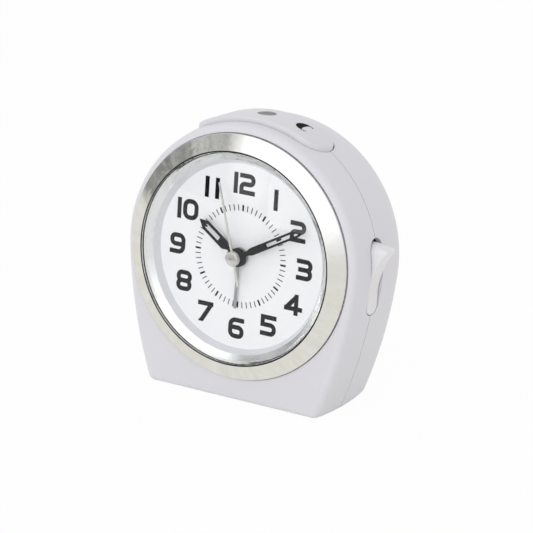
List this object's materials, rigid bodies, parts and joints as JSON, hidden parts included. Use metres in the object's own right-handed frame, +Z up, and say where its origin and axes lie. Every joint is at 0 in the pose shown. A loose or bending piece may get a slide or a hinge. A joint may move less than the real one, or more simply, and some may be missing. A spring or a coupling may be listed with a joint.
{
  "type": "analogue alarm clock",
  "caption": "Bedside analogue alarm clock: arched case on a flat base, polished bezel, domed crystal, hands on a geared quartz movement, snooze bar on top, alarm slide on one flank.",
  "frame": {"origin": "middle of the flat base that the clock stands on", "axes": "+Z up, -Y out of the dial towards the viewer, +X to the viewer's right"},
  "size_m": [0.0969, 0.0544, 0.096],
  "materials": {
    "case_white": "satin moulded ABS",
    "bezel_chrome": "polished plating",
    "crystal_clear": "clear moulded acrylic",
    "ring_silver": "silver lacquer",
    "dial_white": "matt paint",
    "print_black": "screen print",
    "hand_black": "black lacquer",
    "hand_silver": "brushed",
    "window_grey": "smoky clear",
    "knob_grey": "satin moulded",
    "movement_white": "moulded acetal",
    "brass": "turned",
    "steel": "zinc plated",
    "copper": "enamelled wire",
    "board_green": "solder mask",
    "black_plastic": "moulded",
    "cell_sleeve": "plain sleeve"
  },
  "bodies": {
    "case": {"front_case": "case_white", "rear_case": "case_white", "bezel": "bezel_chrome", "crystal": "crystal_clear", "dial_ring": "ring_silver", "dial": "dial_white", "dial_numerals": "print_black", "minute_track": "print_black", "movement_plate": "movement_white", "movement_cover": "movement_white", "movement_screws": "steel", "train_bridge": "movement_white", "stator": "steel", "coil_bobbin": "movement_white", "coil_winding": "copper", "alarm_contact": "brass", "circuit_board": "board_green", "chip": "black_plastic", "quartz_can": "steel", "buzzer": "black_plastic", "top_board": "board_green", "snooze_switch": "black_plastic", "snooze_springs": "steel", "light_sensor": "black_plastic", "slide_switch": "black_plastic", "battery_cell": "cell_sleeve", "battery_plate": "steel", "battery_spring": "steel", "case_screws": "steel"},
    "snooze_button": {"snooze_bar": "case_white", "sensor_window": "window_grey"},
    "alarm_slide": {"alarm_switch": "case_white"},
    "battery_lid": {"battery_door": "case_white"},
    "minute_group": {"minute_hand": "hand_black", "minute_arbor": "brass", "clutch_washer": "brass"},
    "hour_group": {"hour_hand": "hand_black", "hour_wheel": "movement_white"},
    "motion_group": {"motion_wheel": "movement_white"},
    "time_setter": {"time_set_shaft": "movement_white", "time_set_knob": "knob_grey"},
    "second_group": {"second_hand": "hand_silver", "second_wheel": "movement_white"},
    "third_group": {"third_wheel": "movement_white"},
    "centre_group": {"centre_wheel": "movement_white"},
    "fifth_group": {"fifth_wheel": "movement_white"},
    "rotor_group": {"rotor": "steel"},
    "alarm_group": {"alarm_hand": "hand_silver", "alarm_wheel": "movement_white"},
    "alarm_setter": {"alarm_set_shaft": "movement_white", "alarm_set_knob": "knob_grey"}
  },
  "joints": [
    {"name": "snooze_press", "type": "slide", "parent": "case", "child": "snooze_button", "axis": [0, -0.1149, -0.9934], "range_m": [0, 0.0015], "stiffness_N_per_m": 800, "springref_m": -0.001, "deforming": ["snooze_springs"]},
    {"name": "alarm_slide_travel", "type": "slide", "parent": "case", "child": "alarm_slide", "axis": [0, 0.1149, 0.9934], "range_m": [0, 0.0012]},
    {"name": "battery_door_swing", "type": "hinge", "parent": "case", "child": "battery_lid", "pos_m": [0, 0.02052, 0.00333], "axis": [-1, 0, 0], "range_deg": [0, 80]},
    {"name": "minute_hand_turn", "type": "hinge", "parent": "case", "child": "minute_group", "pos_m": [0, -0.01437, 0.0498], "axis": [0, 0.9934, -0.1149], "continuous": true},
    {"name": "hour_hand_turn", "type": "hinge", "parent": "case", "child": "hour_group", "pos_m": [0, -0.01437, 0.0498], "axis": [0, 0.9934, -0.1149], "continuous": true},
    {"name": "motion_wheel_turn", "type": "hinge", "parent": "case", "child": "motion_group", "pos_m": [0.00695, -0.01459, 0.04795], "axis": [0, 0.9934, -0.1149], "continuous": true},
    {"name": "time_knob_turn", "type": "hinge", "parent": "case", "child": "time_setter", "pos_m": [0.01505, -0.01459, 0.04795], "axis": [0, 0.9934, -0.1149], "continuous": true},
    {"name": "second_hand_turn", "type": "hinge", "parent": "case", "child": "second_group", "pos_m": [0, -0.01437, 0.0498], "axis": [0, 0.9934, -0.1149], "continuous": true},
    {"name": "third_wheel_turn", "type": "hinge", "parent": "case", "child": "third_group", "pos_m": [0, -0.01334, 0.05874], "axis": [0, 0.9934, -0.1149], "continuous": true},
    {"name": "centre_wheel_turn", "type": "hinge", "parent": "case", "child": "centre_group", "pos_m": [0, -0.01437, 0.0498], "axis": [0, 0.9934, -0.1149], "continuous": true},
    {"name": "fifth_wheel_turn", "type": "hinge", "parent": "case", "child": "fifth_group", "pos_m": [0, -0.01515, 0.04305], "axis": [0, 0.9934, -0.1149], "continuous": true},
    {"name": "rotor_turn", "type": "hinge", "parent": "case", "child": "rotor_group", "pos_m": [-0.004, -0.0155, 0.04006], "axis": [0, 0.9934, -0.1149], "continuous": true},
    {"name": "alarm_hand_turn", "type": "hinge", "parent": "case", "child": "alarm_group", "pos_m": [0, -0.01437, 0.0498], "axis": [0, 0.9934, -0.1149], "continuous": true},
    {"name": "alarm_knob_turn", "type": "hinge", "parent": "case", "child": "alarm_setter", "pos_m": [-0.0099, -0.01437, 0.0498], "axis": [0, 0.9934, -0.1149], "continuous": true}
  ],
  "couplings": [
    {"joint": "motion_wheel_turn", "follows": "minute_hand_turn", "ratio": -0.33333},
    {"joint": "hour_hand_turn", "follows": "minute_hand_turn", "ratio": 0.083333},
    {"joint": "time_knob_turn", "follows": "minute_hand_turn", "ratio": 0.66667},
    {"joint": "fifth_wheel_turn", "follows": "second_hand_turn", "ratio": -7.5},
    {"joint": "rotor_turn", "follows": "second_hand_turn", "ratio": 30},
    {"joint": "third_wheel_turn", "follows": "second_hand_turn", "ratio": -0.13333},
    {"joint": "centre_wheel_turn", "follows": "second_hand_turn", "ratio": 0.016667},
    {"joint": "alarm_knob_turn", "follows": "alarm_hand_turn", "ratio": -1.2}
  ]
}
